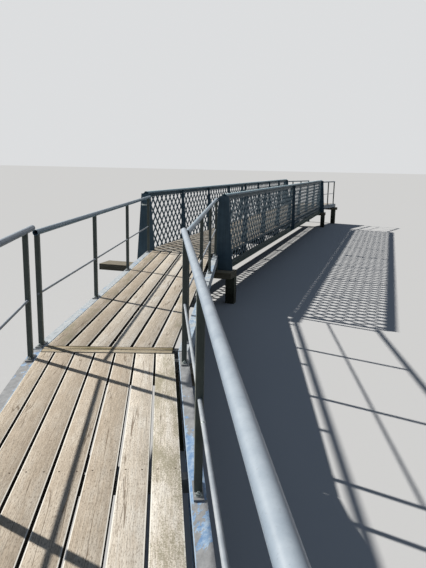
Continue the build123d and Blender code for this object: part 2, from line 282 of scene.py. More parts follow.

# %% [markdown]
# ## Paint on the handrails
# The handrails are smooth welded tube under a thin blue-grey gloss paint that hands have
# polished. A tube shows its finish as one long highlight, so the paint is smoother than on the
# girders, its gloss varies in short stretches, and its top is paler, partly rubbed by hands and
# partly a painted highlight.

# %% Hand-polished gloss paint
def rail_gloss(name, paint, rubbed_and_highlight):
    """Gloss paint on a tube, pale where it faces up, partly rubbed and partly a painted highlight.
    """
    mat, shader = new_finish(name, roughness=0.4, gloss=0.25)
    where = add(mat, COORDS, out="Object")
    normal = add(mat, "ShaderNodeNewGeometry", out="Normal")
    up = add(mat, SPLIT_XYZ, {"Vector": normal}, out="Z")
    # Stretches about 80 mm long where hands rub more or less
    stretch = add(mat, NOISE, {"Vector": where, "Scale": 12.0, "Detail": 5.0, "Roughness": 0.6})
    # Rubbing and a painted highlight pale the upper side, more in some stretches
    rubbing_and_highlight = add(mat, MATH, {0: up, 1: stretch}, operation="MULTIPLY", use_clamp=True)
    tint = add(mat, MIX, {SHARE: rubbing_and_highlight, BASE: paint, COAT: rubbed_and_highlight}, **COLOURS)
    # Dirt specks of a few millimetres
    speck = add(mat, NOISE, {"Vector": where, "Scale": 150.0, "Detail": 4.0, "Roughness": 0.7})
    speck = add(mat, RAMP, {"Fac": speck}, stops=((0.3, 0.72), (0.42, 1.0)))
    tint = add(mat, MIX, {SHARE: 0.6, BASE: tint, COAT: speck}, **COLOURS, blend_type="MULTIPLY")
    rough = add(mat, RANGE, {"Value": stretch, "To Min": 0.32, "To Max": 0.48})
    # A skin like fine peel, 4 mm from bump to bump
    pebble = add(mat, NOISE, {"Vector": where, "Scale": 260.0, "Detail": 2.0})
    relief = add(mat, BUMP, {"Height": pebble, "Distance": 0.0002, "Strength": 0.35})
    feed(mat, shader, Base_Color=tint, Roughness=rough, Normal=relief)
    return mat


# The second colour is the paler top: rubbing and a painted highlight
shore_rail_paint = rail_gloss("silver_grey_gloss_paint", "#7D8FA2", "#C9D4DF")
near_rail_paint = rail_gloss("blue_grey_gloss_paint", "#67879B", "#BCCBD9")
print("two gloss paints for the handrails")

# %% [markdown]
# ## Peeling paint on the edge beams
# The edge beams were light blue once. Most of it has worn to grey primer and a weathered bloom,
# with islands of the blue left between them. Where paint flakes, its edge is hard, so a soft
# noise goes through a steep ramp, and the same ramp lifts the islands a little as bump.

# %% Peeling primer and blue
FLANGE_EDGE = BEAM_X - 0.04
EDGE_LINE = 0.009


def flaking_paint(name, floor, primer, blue):
    """Islands of old blue paint on primer; both colours are given dark, middle and pale."""
    mat, shader = new_finish(name, roughness=0.5, gloss=0.35)
    where = add(mat, COORDS, out="Object")
    # Flaking runs with the beam, so the pattern is drawn out to twice its width along it
    drawn = add(mat, MAPPING, {"Vector": where, "Scale": (1.0, 0.5, 1.0)})
    # Islands of blue 50 to 200 mm long, more of them in some stretches of a metre or two
    island = add(mat, NOISE, {"Vector": drawn, "Scale": 13.0, "Detail": 10.0, "Roughness": 0.72})
    reach = add(mat, NOISE, {"Vector": where, "Scale": 0.8, "Detail": 2.0})
    both = add(mat, MATH, {0: island, 1: reach}, operation="ADD")
    both = add(mat, MATH, {0: both, 1: 0.5}, operation="MULTIPLY")
    peel = add(mat, RAMP, {"Fac": both}, stops=((0.54, 0.0), (0.546, 1.0)))
    cloud = add(mat, NOISE, {"Vector": drawn, "Scale": 30.0, "Detail": 6.0, "Roughness": 0.7})
    under = add(mat, RAMP, {"Fac": cloud}, stops=tuple(zip((0.32, 0.5, 0.7), primer)))
    over = add(mat, RAMP, {"Fac": cloud}, stops=tuple(zip((0.4, 0.5, 0.6), blue)))
    tint = add(mat, MIX, {SHARE: peel, BASE: under, COAT: over}, **COLOURS)
    # Along the flange's inner edge a ragged pale blue line of 3 to 6 mm has lasted
    aside = add(mat, SPLIT_XYZ, {"Vector": on_walk(mat, where, floor)}, out="X")
    ragged = add(mat, RANGE, {"Value": cloud, "To Min": FLANGE_EDGE,
                              "To Max": FLANGE_EDGE + EDGE_LINE})
    edge = add(mat, MATH, {0: aside, 1: ragged}, operation="LESS_THAN")
    tint = add(mat, MIX, {SHARE: edge, BASE: tint, COAT: blue[2]}, **COLOURS)
    # Rust spots of 10 to 20 mm
    rust = add(mat, NOISE, {"Vector": where, "Scale": 40.0, "Detail": 8.0, "Roughness": 0.75})
    rust = add(mat, RAMP, {"Fac": rust}, stops=((0.67, 0.0), (0.7, 0.85)))
    tint = add(mat, MIX, {SHARE: rust, BASE: tint, COAT: "#6B4E3A"}, **COLOURS)
    relief = add(mat, BUMP, {"Height": peel, "Distance": 0.0006, "Strength": 0.6})
    rough = add(mat, RANGE, {"Value": cloud, "To Min": 0.38, "To Max": 0.66})
    feed(mat, shader, Base_Color=tint, Roughness=rough, Normal=relief)
    return mat


GREY_PRIMER, OLD_BLUE = ("#8B8E91", "#A0A3A7", "#B2B5B8"), ("#7AA0CE", "#99B8DB", "#B9D0E8")
PALE_BLOOM, FADED_BLUE = ("#A6B0B8", "#C4CDD4", "#DDE2E5"), ("#8FABC8", "#A9C0D8", "#C8D8E8")
beam_paint = {
    "shore": flaking_paint("peeling_blue_over_grey_primer", SHORE, GREY_PRIMER, OLD_BLUE),
    "near": flaking_paint("peeling_blue_under_pale_bloom", NEAR, PALE_BLOOM, FADED_BLUE),
    "far": flaking_paint("peeling_blue_under_pale_bloom_far", FAR, PALE_BLOOM, FADED_BLUE),
}
print("two kinds of peeling paint for the edge beams")

# %% [markdown]
# ## Bare boards
# The floor boards are sawn softwood that was never painted. The sun has bleached them to a pale
# silvery beige; thin wavy drying cracks follow the grain and knots stay darker. The arrises carry
# a painted white highlight, and the sides are painted dark as shade in the gaps between boards.
# Grain has to run along each board and start anew on the next, so the boards carry two UV maps:
# `along` in metres along and across the grain, moved on from board to board, and `across`, which
# is 0 to 1 over the board's width and metres from its end.

# %% Sun-bleached softwood
def bleached_wood(name, pale, warm, silver, dark, film="#9A9680"):
    """Old bare softwood; film is the colour of the green film that damp leaves on it."""
    mat, shader = new_finish(name, roughness=0.8, gloss=0.15)
    along = add(mat, "ShaderNodeUVMap", uv_map="along")
    across = add(mat, "ShaderNodeUVMap", uv_map="across")
    across = add(mat, SPLIT_XYZ, {"Vector": across}, out="X")
    tone = add(mat, "ShaderNodeAttribute", out="Fac", attribute_name="tone")
    filmy = add(mat, "ShaderNodeAttribute", out="Fac", attribute_name="film")
    normal = add(mat, "ShaderNodeNewGeometry", out="Normal")
    facing = add(mat, SPLIT_XYZ, {"Vector": normal}, out="Z")
    # Knots: one in about half a square metre, 50 mm by 25 mm with the grain
    cell = add(mat, MAPPING, {"Vector": along, "Scale": (1.1, 2.4, 1.0)})
    knot = add(mat, "ShaderNodeTexVoronoi", {"Vector": cell, "Scale": 1.0}, out="Distance")
    core = add(mat, RAMP, {"Fac": knot}, stops=((0.012, 1.0), (0.034, 0.0)))
    halo = add(mat, RAMP, {"Fac": knot}, stops=((0.02, 1.0), (0.12, 0.0)))
    # The grain bends round a knot: its coordinates are pushed sideways there, by 20 mm at most
    push = add(mat, MATH, {0: halo, 1: 0.02}, operation="MULTIPLY")
    push = add(mat, "ShaderNodeCombineXYZ", {"Y": push})
    bent = add(mat, VECTOR_MATH, {0: along, 1: push}, operation="ADD")
    # Growth rings sawn through: bands 6 to 20 mm wide, a metre long
    rings = add(mat, MAPPING, {"Vector": bent, "Scale": (0.9, 42.0, 1.0)})
    rings = add(mat, NOISE, {"Vector": rings, "Scale": 1.3, "Detail": 7.0, "Roughness": 0.62,
                             "Distortion": 0.3})
    # Bleached and less bleached areas a hand wide, and flecks 6 mm wide and 20 mm long
    blotch = add(mat, MAPPING, {"Vector": along, "Scale": (2.2, 7.0, 1.0)})
    blotch = add(mat, NOISE, {"Vector": blotch, "Scale": 1.0, "Detail": 6.0, "Roughness": 0.68})
    fleck = add(mat, MAPPING, {"Vector": along, "Scale": (48.0, 170.0, 1.0)})
    fleck = add(mat, NOISE, {"Vector": fleck, "Scale": 1.0, "Detail": 4.0, "Roughness": 0.7})
    tint = add(mat, RAMP, {"Fac": rings}, stops=((0.28, warm), (0.5, pale), (0.72, silver)))
    for pattern, colour, stops in ((blotch, warm, ((0.36, 0.75), (0.6, 0.0))),
                                   (blotch, silver, ((0.52, 0.0), (0.7, 0.8))),
                                   (fleck, dark, ((0.34, 0.8), (0.5, 0.0)))):
        share = add(mat, RAMP, {"Fac": pattern}, stops=stops)
        tint = add(mat, MIX, {SHARE: share, BASE: tint, COAT: colour}, **COLOURS)
    # Raised grain: lines 5 mm wide and a hand long; then each board has a tone of its own
    grain = add(mat, MAPPING, {"Vector": bent, "Scale": (9.0, 190.0, 1.0)})
    grain = add(mat, NOISE, {"Vector": grain, "Scale": 1.0, "Detail": 3.0, "Roughness": 0.6})
    grain = add(mat, RAMP, {"Fac": grain}, stops=((0.36, 0.78), (0.64, 1.1)))
    own = add(mat, RAMP, {"Fac": tone},
              stops=((0.0, "#D2CBC3"), (0.5, "#E6E0D9"), (1.0, "#FFFFFF")))
    for shade in (grain, own):
        tint = add(mat, MIX, {SHARE: 1.0, BASE: tint, COAT: shade}, **COLOURS,
                   blend_type="MULTIPLY")
    # Drying cracks are the thin level line of a stretched noise, kept only in dry stretches; the
    # real ones are under a millimetre wide and are drawn at 2 mm
    split = add(mat, MAPPING, {"Vector": bent, "Scale": (0.4, 8.0, 1.0)})
    split = add(mat, NOISE, {"Vector": split, "Scale": 1.0, "Detail": 4.0, "Roughness": 0.5,
                             "Distortion": 0.4})
    split = add(mat, MATH, {0: split, 1: 0.5}, operation="SUBTRACT")
    split = add(mat, MATH, {0: split}, operation="ABSOLUTE")
    split = add(mat, RAMP, {"Fac": split}, stops=((0.003, 1.0), (0.008, 0.0)))
    dry = add(mat, RAMP, {"Fac": blotch}, stops=((0.45, 0.0), (0.52, 0.8)))
    crack = add(mat, MATH, {0: split, 1: dry}, operation="MULTIPLY")
    core = add(mat, MATH, {0: core, 1: 0.75}, operation="MULTIPLY")
    # A painted highlight along the arrises
    off = add(mat, MATH, {0: across, 1: 0.5}, operation="SUBTRACT")
    off = add(mat, MATH, {0: off}, operation="ABSOLUTE")
    rim = add(mat, RAMP, {"Fac": off}, stops=((0.452, 0.0), (0.466, 0.9)))
    # The green film has a speckle of 10 mm and keeps to damp patches of a hand's width or two
    growth = add(mat, NOISE, {"Vector": along, "Scale": 110.0, "Detail": 5.0, "Roughness": 0.75})
    growth = add(mat, MATH, {0: growth, 1: filmy}, operation="ADD")
    damp = add(mat, RANGE, {"Value": blotch, "From Min": 0.35, "From Max": 0.65, "To Min": 0.14,
                            "To Max": -0.16})
    growth = add(mat, MATH, {0: growth, 1: damp}, operation="ADD")
    growth = add(mat, RAMP, {"Fac": growth}, stops=((0.88, 0.0), (1.04, 0.8)))
    for share, colour in ((crack, "#6B5A48"), (core, "#5A4632"), (rim, "#FFFDF6"), (growth, film)):
        tint = add(mat, MIX, {SHARE: share, BASE: tint, COAT: colour}, **COLOURS)
    # The sides between boards are painted dark as shade in the gaps
    flat = add(mat, RAMP, {"Fac": facing}, stops=((0.15, 0.0), (0.6, 1.0)))
    tint = add(mat, MIX, {SHARE: flat, BASE: "#2A241C", COAT: tint}, **COLOURS)
    relief = add(mat, MIX, {SHARE: 0.6, BASE: rings, COAT: crack}, **COLOURS,
                 blend_type="SUBTRACT")
    relief = add(mat, BUMP, {"Height": relief, "Distance": 0.0014, "Strength": 0.6})
    feed(mat, shader, Base_Color=tint, Normal=relief)
    return mat


deck_wood = bleached_wood("sun_bleached_softwood", "#F0EADF", "#DCD2C4", "#F8F5EE", "#95877A")
# The span's planks are silvered grey, and darkened by about a sixth more as painted shade of the
# lattice
span_wood = bleached_wood("silvered_softwood_darkened_as_shade", "#BDB8AF", "#A29C92", "#D0CDC6", "#78726A")
strip_wood = bleached_wood("green_filmed_softwood", "#D2C6AE", "#AA9C82", "#E0D7C4", "#5F5340",
                           "#5D5C34")
print("three ages of bare board")

# %% [markdown]
# ## Heavy timber
# Piles, sills and bearing beams are rough-sawn hardwood. It greys to a green black in the damp,
# splits along its length, and is darkest near its foot, which never dries. The grain follows the
# length of the timber, so the noise is stretched upright for piles and sideways for beams. A
# picture of oak would repeat along a sill, and noise doesn't.

# %% Damp oak
def damp_oak(name, stretch, dark, mid, dry, wet=True):
    """Sawn oak with its grain along the least of the three stretches."""
    mat, shader = new_finish(name, roughness=0.82, gloss=0.15)
    where = add(mat, COORDS, out="Object")
    # Grain bands of 10 to 30 mm
    grain = add(mat, MAPPING, {"Vector": where, "Scale": stretch})
    grain = add(mat, NOISE, {"Vector": grain, "Scale": 5.0, "Detail": 9.0, "Roughness": 0.7})
    tint = add(mat, RAMP, {"Fac": grain}, stops=((0.3, dark), (0.52, mid), (0.72, dry)))
    if wet:
        # A damp line 200 to 350 mm above the feet, broken by the grain
        height = add(mat, SPLIT_XYZ, {"Vector": where}, out="Z")
        line = add(mat, MATH, {0: grain, 1: 0.3}, operation="MULTIPLY")
        line = add(mat, MATH, {0: height, 1: line}, operation="SUBTRACT")
        soaked = add(mat, RAMP, {"Fac": line}, stops=((0.0, 1.0), (0.25, 0.0)))
        tint = add(mat, MIX, {SHARE: soaked, BASE: tint, COAT: "#373A33"}, **COLOURS)
    relief = add(mat, BUMP, {"Height": grain, "Distance": 0.003, "Strength": 0.7})
    feed(mat, shader, Base_Color=tint, Normal=relief)
    return mat


pile_oak = damp_oak("dark_damp_oak", (9.0, 9.0, 0.7), "#4E534A", "#6C7166", "#8F9183")
sill_oak = damp_oak("greyed_oak", (0.8, 8.0, 9.0), "#6B6455", "#8C8678", "#ABA596", wet=False)
joist_oak = damp_oak("joist_oak", (9.0, 0.7, 9.0), "#37342C", "#55503F", "#6E6856", wet=False)
print("three cuts of oak")

# %% [markdown]
# ## Fastener steel
# Nuts and washers were galvanised and have gone dull: grey, a little metallic, mottled in patches
# of about 10 mm. Nails are bare iron, brown black with rust. One noise is enough for pieces that
# are this small.

# %% Dull zinc and rusty iron
dull_zinc, shader = new_finish("dull_galvanised_steel", roughness=0.5, metallic=0.55)
where = add(dull_zinc, COORDS, out="Object")
spangle = add(dull_zinc, NOISE, {"Vector": where, "Scale": 90.0, "Detail": 4.0, "Roughness": 0.7})
tint = add(dull_zinc, RAMP, {"Fac": spangle}, stops=((0.35, "#767F80"), (0.65, "#A4AEB0")))
relief = add(dull_zinc, BUMP, {"Height": spangle, "Distance": 0.0003, "Strength": 0.4})
feed(dull_zinc, shader, Base_Color=tint, Normal=relief)

rusty_iron, shader = new_finish("rusty_nail_iron", roughness=0.8)
where = add(rusty_iron, COORDS, out="Object")
bloom = add(rusty_iron, NOISE, {"Vector": where, "Scale": 120.0, "Detail": 3.0})
tint = add(rusty_iron, RAMP, {"Fac": bloom}, stops=((0.3, "#4A3D31"), (0.7, "#7A6754")))
feed(rusty_iron, shader, Base_Color=tint)
print("two finishes for fasteners")

# %% [markdown]
# ## Painting the steel that stays
# The solids of girders, beams, posts, rails and piles already have the right shape, so they keep
# it and only their material changes. The name of each node says which finish its real piece has;
# the first word of the list that is found in the name counts, and the rest is girder.

# %% Finishes of the CAD nodes
FINISH_BY_WORD = (
    ("shore_handrails", shore_rail_paint),
    ("handrails", near_rail_paint),
    ("shore_edge_beams", beam_paint["shore"]),
    ("near_edge_beams", beam_paint["near"]),
    ("far_edge_beams", beam_paint["far"]),
    ("shore", post_paint["shore"]),
    ("near", post_paint["near"]),
    ("far", post_paint["far"]),
    ("piles", pile_oak),
    ("blocks", pile_oak),
    ("stringers", joist_oak),
    ("sills", sill_oak),
    ("cap_beams", sill_oak),
    ("top_chord", cap_paint),
    ("bottom_chord", foot_paint),
    ("cross_beams", foot_paint),
)
for node_name, obj in nodes.items():
    fitting = (finish for word, finish in FINISH_BY_WORD if word in node_name)
    obj.data.materials.clear()
    obj.data.materials.append(next(fitting, girder_paint))
print("painted", len(nodes), "nodes")

# %% [markdown]
# ## Floors, board by board
# A real floor is separate boards with a gap between them, none quite level with its neighbour.
# Each board starts as one face, is pushed down to its thickness, and has its upper edges rounded
# by a bevel, as feet wear them. Then its two UV maps and its own tone are written on it.

# %% Board maker
# Places in the list of outline points, for the way the grain runs
ALONG_X, ALONG_Y = 0, 1
# How far the grain moves on from one board to the next
GRAIN_STEP_U, GRAIN_STEP_V = 3.7, 0.37
MOST_SUNK = 0.0015


def joined_to(start):
    """All faces of the board that a vertex belongs to."""
    found, waiting = {start}, [start]
    while waiting:
        for edge in waiting.pop().link_edges:
            for vert in edge.verts:
                if vert not in found:
                    found.add(vert)
                    waiting.append(vert)
    return {face for vert in found for face in vert.link_faces}


def lay_boards(name, outlines, place, thick, lengthwise, material, replaces, films, wear=0.004,
               tones=None):
    """Boards from their outlines; lengthwise says which way their grain runs."""
    bm = bmesh.new()
    along, across = bm.loops.layers.uv.new("along"), bm.loops.layers.uv.new("across")
    tone, film = bm.faces.layers.float.new("tone"), bm.faces.layers.float.new("film")
    for k, outline in enumerate(outlines):
        own_tone, sunk = rng.random(), rng.random() * MOST_SUNK
        if tones:
            own_tone = tones[k]
        top = bm.faces.new([bm.verts.new((x, y, -sunk)) for x, y in outline])
        made = bmesh.ops.extrude_face_region(bm, geom=[top])["geom"]
        low = [g for g in made if isinstance(g, bmesh.types.BMVert)]
        bmesh.ops.translate(bm, verts=low, vec=(0, 0, sunk - thick))
        sides = {f for v in low for f in v.link_faces}
        rim = {e for f in sides for e in f.edges if all(v.co.z > -thick / 2 for v in e.verts)}
        bmesh.ops.bevel(bm, geom=list(rim), offset=wear, offset_type="OFFSET", segments=2,
                        profile=0.5, affect="EDGES", material=-1)
        side = [p[1 - lengthwise] for p in outline]
        end = [p[lengthwise] for p in outline]
        for face in joined_to(low[0]):
            face[tone] = own_tone
            face[film] = films[k]
            for loop in face.loops:
                spot = loop.vert.co
                u, v = spot[lengthwise], spot[1 - lengthwise]
                # On upright faces the grain goes on with the depth
                drop = spot.z if abs(face.normal.z) < 0.5 else 0.0
                loop[along].uv = (u + GRAIN_STEP_U * k, v + drop + GRAIN_STEP_V * k)
                loop[across].uv = ((v - min(side)) / (max(side) - min(side)), u - min(end))
    bmesh.ops.transform(bm, matrix=place, verts=bm.verts)
    return piece(name, bm, material, crease=40, replaces=replaces)


print("a board may lie up to", MOST_SUNK * 1000, "mm low")

# %% [markdown]
# The boards of an approach run along it, side by side. Each end of the walk is a slanting line
# across the plan, so a board's outline needs only its two sides and the height of that line at
# each of them.

# %% Outlines of boards along a walk
SAW_ERROR = 0.004


def strips(widths, gap, shift, start, end):
    """Outlines of boards cut to two skew end lines, given as (place on the axis, slope)."""
    x = shift - (sum(widths) + gap * (len(widths) - 1)) / 2
    outlines = []
    for w in widths:
        low, high = rng.random(2) * SAW_ERROR
        outlines.append([(x, start[0] + start[1] * x + low),
                         (x + w, start[0] + start[1] * (x + w) + low),
                         (x + w, end[0] + end[1] * (x + w) - high),
                         (x, end[0] + end[1] * x - high)])
        x += w + gap
    return outlines


print("board ends differ by up to", SAW_ERROR * 1000, "mm")

# %% [markdown]
# The shore approach has seven boards, the left one narrower and the two on the right the palest;
# the last has damp green patches. The near and far approaches have six wider boards, cut on the
# skew where they meet the span.

# %% Boards of the approaches
BOARD_T = 0.045
# Full boards of each approach; the shore approach has a narrow one on its left as well
BOARDS = 6
LEFT_BOARD, SHORE_BOARD, SHORE_GAP, SHORE_SHIFT = 0.11, 0.15, 0.015, -0.015
NEAR_BOARD, NEAR_GAP, NEAR_SHIFT = 0.1562, 0.027, -0.02
# Room for the cross laths on each side of the joint, and for the girder's end plates
SHORE_STOP, NEAR_STOP, PLATE_CLEAR = -0.09, 0.077, 0.018
far_turn = radians(FAR_BEND)
near_end = (NEAR_LENGTH - PLATE_CLEAR / cos(near_turn), tan(near_turn))
far_start = (PLATE_CLEAR / cos(far_turn), tan(far_turn))
shore_outlines = strips([LEFT_BOARD] + [SHORE_BOARD] * BOARDS, SHORE_GAP, SHORE_SHIFT,
                        (-SHORE_LENGTH, 0), (SHORE_STOP, -mitre))
near_outlines = strips([NEAR_BOARD] * BOARDS, NEAR_GAP, NEAR_SHIFT, (NEAR_STOP, mitre), near_end)
far_outlines = strips([NEAR_BOARD] * BOARDS, NEAR_GAP, 0.0, far_start, (FAR_LENGTH, 0))
lay_boards("shore_planks", shore_outlines, SHORE, BOARD_T, ALONG_Y, deck_wood, ["shore_boards"],
           films=[0.3, 0.2, 0.2, 0.22, 0.2, 0.25, 0.42], tones=[0.5, 0.2, 0.3, 0.5, 0.3, 0.9, 1.0])
lay_boards("near_planks", near_outlines, NEAR, BOARD_T, ALONG_Y, deck_wood, ["near_boards"],
           films=[0.38, 0.28, 0.2, 0.2, 0.24, 0.34])
lay_boards("far_planks", far_outlines, FAR, BOARD_T, ALONG_Y, deck_wood, ["far_boards"],
           films=[0.3] * BOARDS)

# %% [markdown]
# Where the two approaches meet, two narrow laths lie across the walk over a packing timber. The
# groove between them and their ends stay damp and turn green.

# %% Cross laths at the joint
STRIP_LONG, STRIP_W, STRIP_T = 1.086, 0.14, 0.05
LATH_GROOVE, LATH_WEAR = 0.007, 0.006
left, right = (NEAR_SHIFT + k * STRIP_LONG / 2 for k in (-1, 1))
laths = [[(left, y0), (right, y0), (right, y1), (left, y1)]
         for y0, y1 in ((-STRIP_W / 2, -LATH_GROOVE / 2), (LATH_GROOVE / 2, STRIP_W / 2))]
lay_boards("cross_laths", laths, JOINT, STRIP_T, ALONG_X, strip_wood, ["joint_strip"],
           wear=LATH_WEAR, films=[0.2, 0.38])

# %% [markdown]
# The main span is floored crosswise, twelve planks to a bay. The planks on each side of a bay
# line are notched round the stiffener plates, so their outlines have an L-shaped step at both
# ends.

# %% Cross planks of the main span
PER_BAY = 12
PLANKS = BAYS * PER_BAY
PLANK_T, PLANK_GAP, PLANK_SAW_ERROR = 0.05, 0.008, 0.006
# Outer face of the chords' angle legs, from the middle of the girder
LEG_FACE = 0.0153
LEG_CLEAR, END_CLEAR = 0.010, 0.003
STIFFENER_REACH, NOTCH_Y = 0.148, 0.008
plank_pitch = BAY / PER_BAY
plank_end = GIRDER_X - LEG_FACE - LEG_CLEAR
notch_x = GIRDER_X - STIFFENER_REACH
cross = []
for k in range(PLANKS):
    y0 = max(k * plank_pitch + PLANK_GAP / 2, END_CLEAR)
    y1 = min((k + 1) * plank_pitch - PLANK_GAP / 2, SPAN - END_CLEAR)
    trim = rng.random(2) * PLANK_SAW_ERROR
    left, right = -plank_end + trim[0], plank_end - trim[1]
    low = k * plank_pitch + NOTCH_Y if k and k % PER_BAY == 0 else y0
    notched_above = (k + 1) % PER_BAY == 0 and k + 1 < PLANKS
    high = (k + 1) * plank_pitch - NOTCH_Y if notched_above else y1
    outline = [(left, low)]
    if low > y0:
        outline += [(-notch_x, low), (-notch_x, y0), (notch_x, y0), (notch_x, low)]
    outline += [(right, low), (right, high)]
    if high < y1:
        outline += [(notch_x, high), (notch_x, y1), (-notch_x, y1), (-notch_x, high)]
    cross.append(outline + [(left, high)])
lay_boards("span_planks", cross, MAIN, PLANK_T, ALONG_X, span_wood, ["main_deck"],
           films=[0.15 + 0.2 * rng.random() for _ in cross])

# %% [markdown]
# ## Turned pieces
# Rivet heads, nail heads, tube caps and collars are all round. A halved sphere would do for some
# of them, and a profile spun about its axis does for all. A spin of a full turn merges its last
# step with its first, and the pole is welded shut.

# %% Spinning and repeating
def turned(profile, sides):
    """A shape of revolution about Z from (radius, height) points."""
    bm = bmesh.new()
    line = [bm.verts.new((r, 0, z)) for r, z in profile]
    edges = [bm.edges.new(pair) for pair in zip(line[:-1], line[1:])]
    bmesh.ops.spin(bm, geom=line + edges, cent=(0, 0, 0), axis=(0, 0, 1), angle=2 * pi,
                   steps=sides, use_merge=True, use_duplicate=False)
    bmesh.ops.remove_doubles(bm, verts=bm.verts, dist=1e-6)
    return bm


def dome(radius, height, steps):
    """Profile of a domed head, from its rim to its pole."""
    angles = [t * pi / 2 / steps for t in range(steps)]
    return [(radius * cos(a), height * sin(a)) for a in angles] + [(0, height)]


def scatter(name, pattern, places, material, crease):
    """One piece from a copy of a small shape at each place."""
    bmesh.ops.recalc_face_normals(pattern, faces=pattern.faces)
    mesh = bpy.data.meshes.new("pattern")
    pattern.to_mesh(mesh)
    pattern.free()
    bm = bmesh.new()
    for place in places:
        copy = mesh.copy()
        copy.transform(place)
        bm.from_mesh(copy)
        bpy.data.meshes.remove(copy)
    bpy.data.meshes.remove(mesh)
    print(len(places), "places for", name)
    return piece(name, bm, material, crease)


print("a dome of 10 mm:", [(round(r, 4), round(z, 4)) for r, z in dome(0.01, 0.01, 2)])

# %% [markdown]
# The shore handrails end in a pressed plug with a rounded face, just short of the next rail. The
# right-hand midrail has a short collar where two lengths of bar are joined.

# %% Rail plugs and collar
RAIL_R, SHORE_RAIL_Z, PLUG_H = 0.02415, 1.010, 0.012
RAIL_PAST_JOINT, SHORE_RAIL_START = 0.015, -5.885
plugs = []
for x in (-BEAM_X, BEAM_X):
    for y, turn in ((RAIL_PAST_JOINT - mitre * x, -90), (SHORE_RAIL_START, 90)):
        spot = Matrix.Translation((x, y, SHORE_RAIL_Z))
        plugs.append(SHORE @ spot @ Matrix.Rotation(radians(turn), 4, "X"))
scatter("shore_rail_plugs", turned(dome(RAIL_R, PLUG_H, steps=6), sides=24), plugs,
        shore_rail_paint, crease=50)

COLLAR_Y, COLLAR_BORE, COLLAR_FACE, COLLAR_R = -2.435, 0.0101, 0.0110, 0.0117
COLLAR_END, COLLAR_SHOULDER = 0.006, 0.004
collar = turned([(COLLAR_BORE, -COLLAR_END), (COLLAR_FACE, -COLLAR_END),
                 (COLLAR_R, -COLLAR_SHOULDER), (COLLAR_R, COLLAR_SHOULDER),
                 (COLLAR_FACE, COLLAR_END), (COLLAR_BORE, COLLAR_END),
                 (COLLAR_BORE, -COLLAR_END)], sides=24)
spot = Matrix.Translation((BEAM_X, COLLAR_Y, MIDRAIL_Z["shore"]))
scatter("midrail_collar", collar, [SHORE @ spot @ Matrix.Rotation(pi / 2, 4, "X")], dull_zinc,
        crease=40)

# %% [markdown]
# A bent flat bar ties the last left-hand post of the near approach to the girder's end plate. Its
# section is one small face spun through a quarter turn, which bends it as a smith would.

# %% Tie strap at the girder
STRAP_X, STRAP_Y, STRAP_Z = -0.80, -0.012, 0.83
STRAP_W, STRAP_T, STRAP_BEND = 0.025, 0.005, 0.18
strap = bmesh.new()
bmesh.ops.create_grid(strap, x_segments=1, y_segments=1, size=0.5)
bmesh.ops.scale(strap, vec=(STRAP_T, STRAP_W, 1), verts=strap.verts)
bmesh.ops.rotate(strap, cent=(0, 0, 0), matrix=Matrix.Rotation(pi / 2, 3, "X"), verts=strap.verts)
bmesh.ops.translate(strap, vec=(STRAP_X, STRAP_Y, STRAP_Z), verts=strap.verts)
bmesh.ops.spin(strap, geom=strap.faces[:], cent=(STRAP_X + STRAP_BEND, STRAP_Y, STRAP_Z),
               axis=(0, 0, 1), angle=pi / 2, steps=10, use_merge=False, use_duplicate=False)
bmesh.ops.holes_fill(strap, edges=strap.edges, sides=4)
bmesh.ops.transform(strap, matrix=MAIN, verts=strap.verts)
piece("post_tie_strap", strap, dull_zinc, crease=40)

# %% [markdown]
# ## Nuts on the base plates
# Each post stands on a plate with one stud before and one behind it, held by a large washer and a
# hexagonal nut. Three capped circles are pushed up one on the other, and their upper rims are
# chamfered. A thread would be lost at this size.

# %% Washer, nut and stud
WASHER_R, WASHER_T = 0.0175, 0.003
NUT_R, NUT_H = 0.0139, 0.011
STUD_R, STUD_H = 0.0065, 0.018


def stacked(bm, radius, sides, base, height, chamfer):
    """A capped circle pushed up from base by height, with its upper rim chamfered."""
    ring = bmesh.ops.create_circle(bm, cap_ends=True, radius=radius, segments=sides)["verts"]
    bmesh.ops.translate(bm, verts=ring, vec=(0, 0, base))
    cap = list({f for v in ring for f in v.link_faces})
    made = bmesh.ops.extrude_face_region(bm, geom=cap)["geom"]
    top = [g for g in made if isinstance(g, bmesh.types.BMVert)]
    bmesh.ops.translate(bm, verts=top, vec=(0, 0, height))
    rim = list({e for v in top for e in v.link_edges if all(w in top for w in e.verts)})
    bmesh.ops.bevel(bm, geom=rim, offset=chamfer, offset_type="OFFSET", segments=1, profile=0.5,
                    affect="EDGES", material=-1)


bolt = bmesh.new()
stacked(bolt, WASHER_R, sides=20, base=0, height=WASHER_T, chamfer=0.0006)
stacked(bolt, NUT_R, sides=6, base=WASHER_T, height=NUT_H, chamfer=0.0016)
stacked(bolt, STUD_R, sides=10, base=WASHER_T, height=STUD_H, chamfer=0.001)
print("one bolt set has", len(bolt.faces), "faces")

# %% [markdown]
# The posts of a side are evenly spaced between its first and its last one. The left and the right
# side start and end at other places, because the walks bend.

# %% Bolts at the posts
BOLT_AHEAD, PLATE_TOP = 0.048, 0.002
shore_left, shore_right = np.linspace(-5.85, -0.195, 4), np.linspace(-5.85, -0.325, 4)
near_left, near_right = np.linspace(0.065, 5.58, 4), np.linspace(0.33, 5.38, 4)
far_left, far_right = np.linspace(0.3, 2.0, 3), np.linspace(0.6, 2.0, 3)
bolt_places = []
for floor, left_posts, right_posts in ((SHORE, shore_left, shore_right),
                                       (NEAR, near_left, near_right), (FAR, far_left, far_right)):
    for x, posts in ((-BEAM_X, left_posts), (BEAM_X, right_posts)):
        bolt_places += [floor @ Matrix.Translation((x, y + d, PLATE_TOP)) for y in posts
                        for d in (-BOLT_AHEAD, BOLT_AHEAD)]
scatter("post_bolts", bolt, bolt_places, dull_zinc, crease=30)

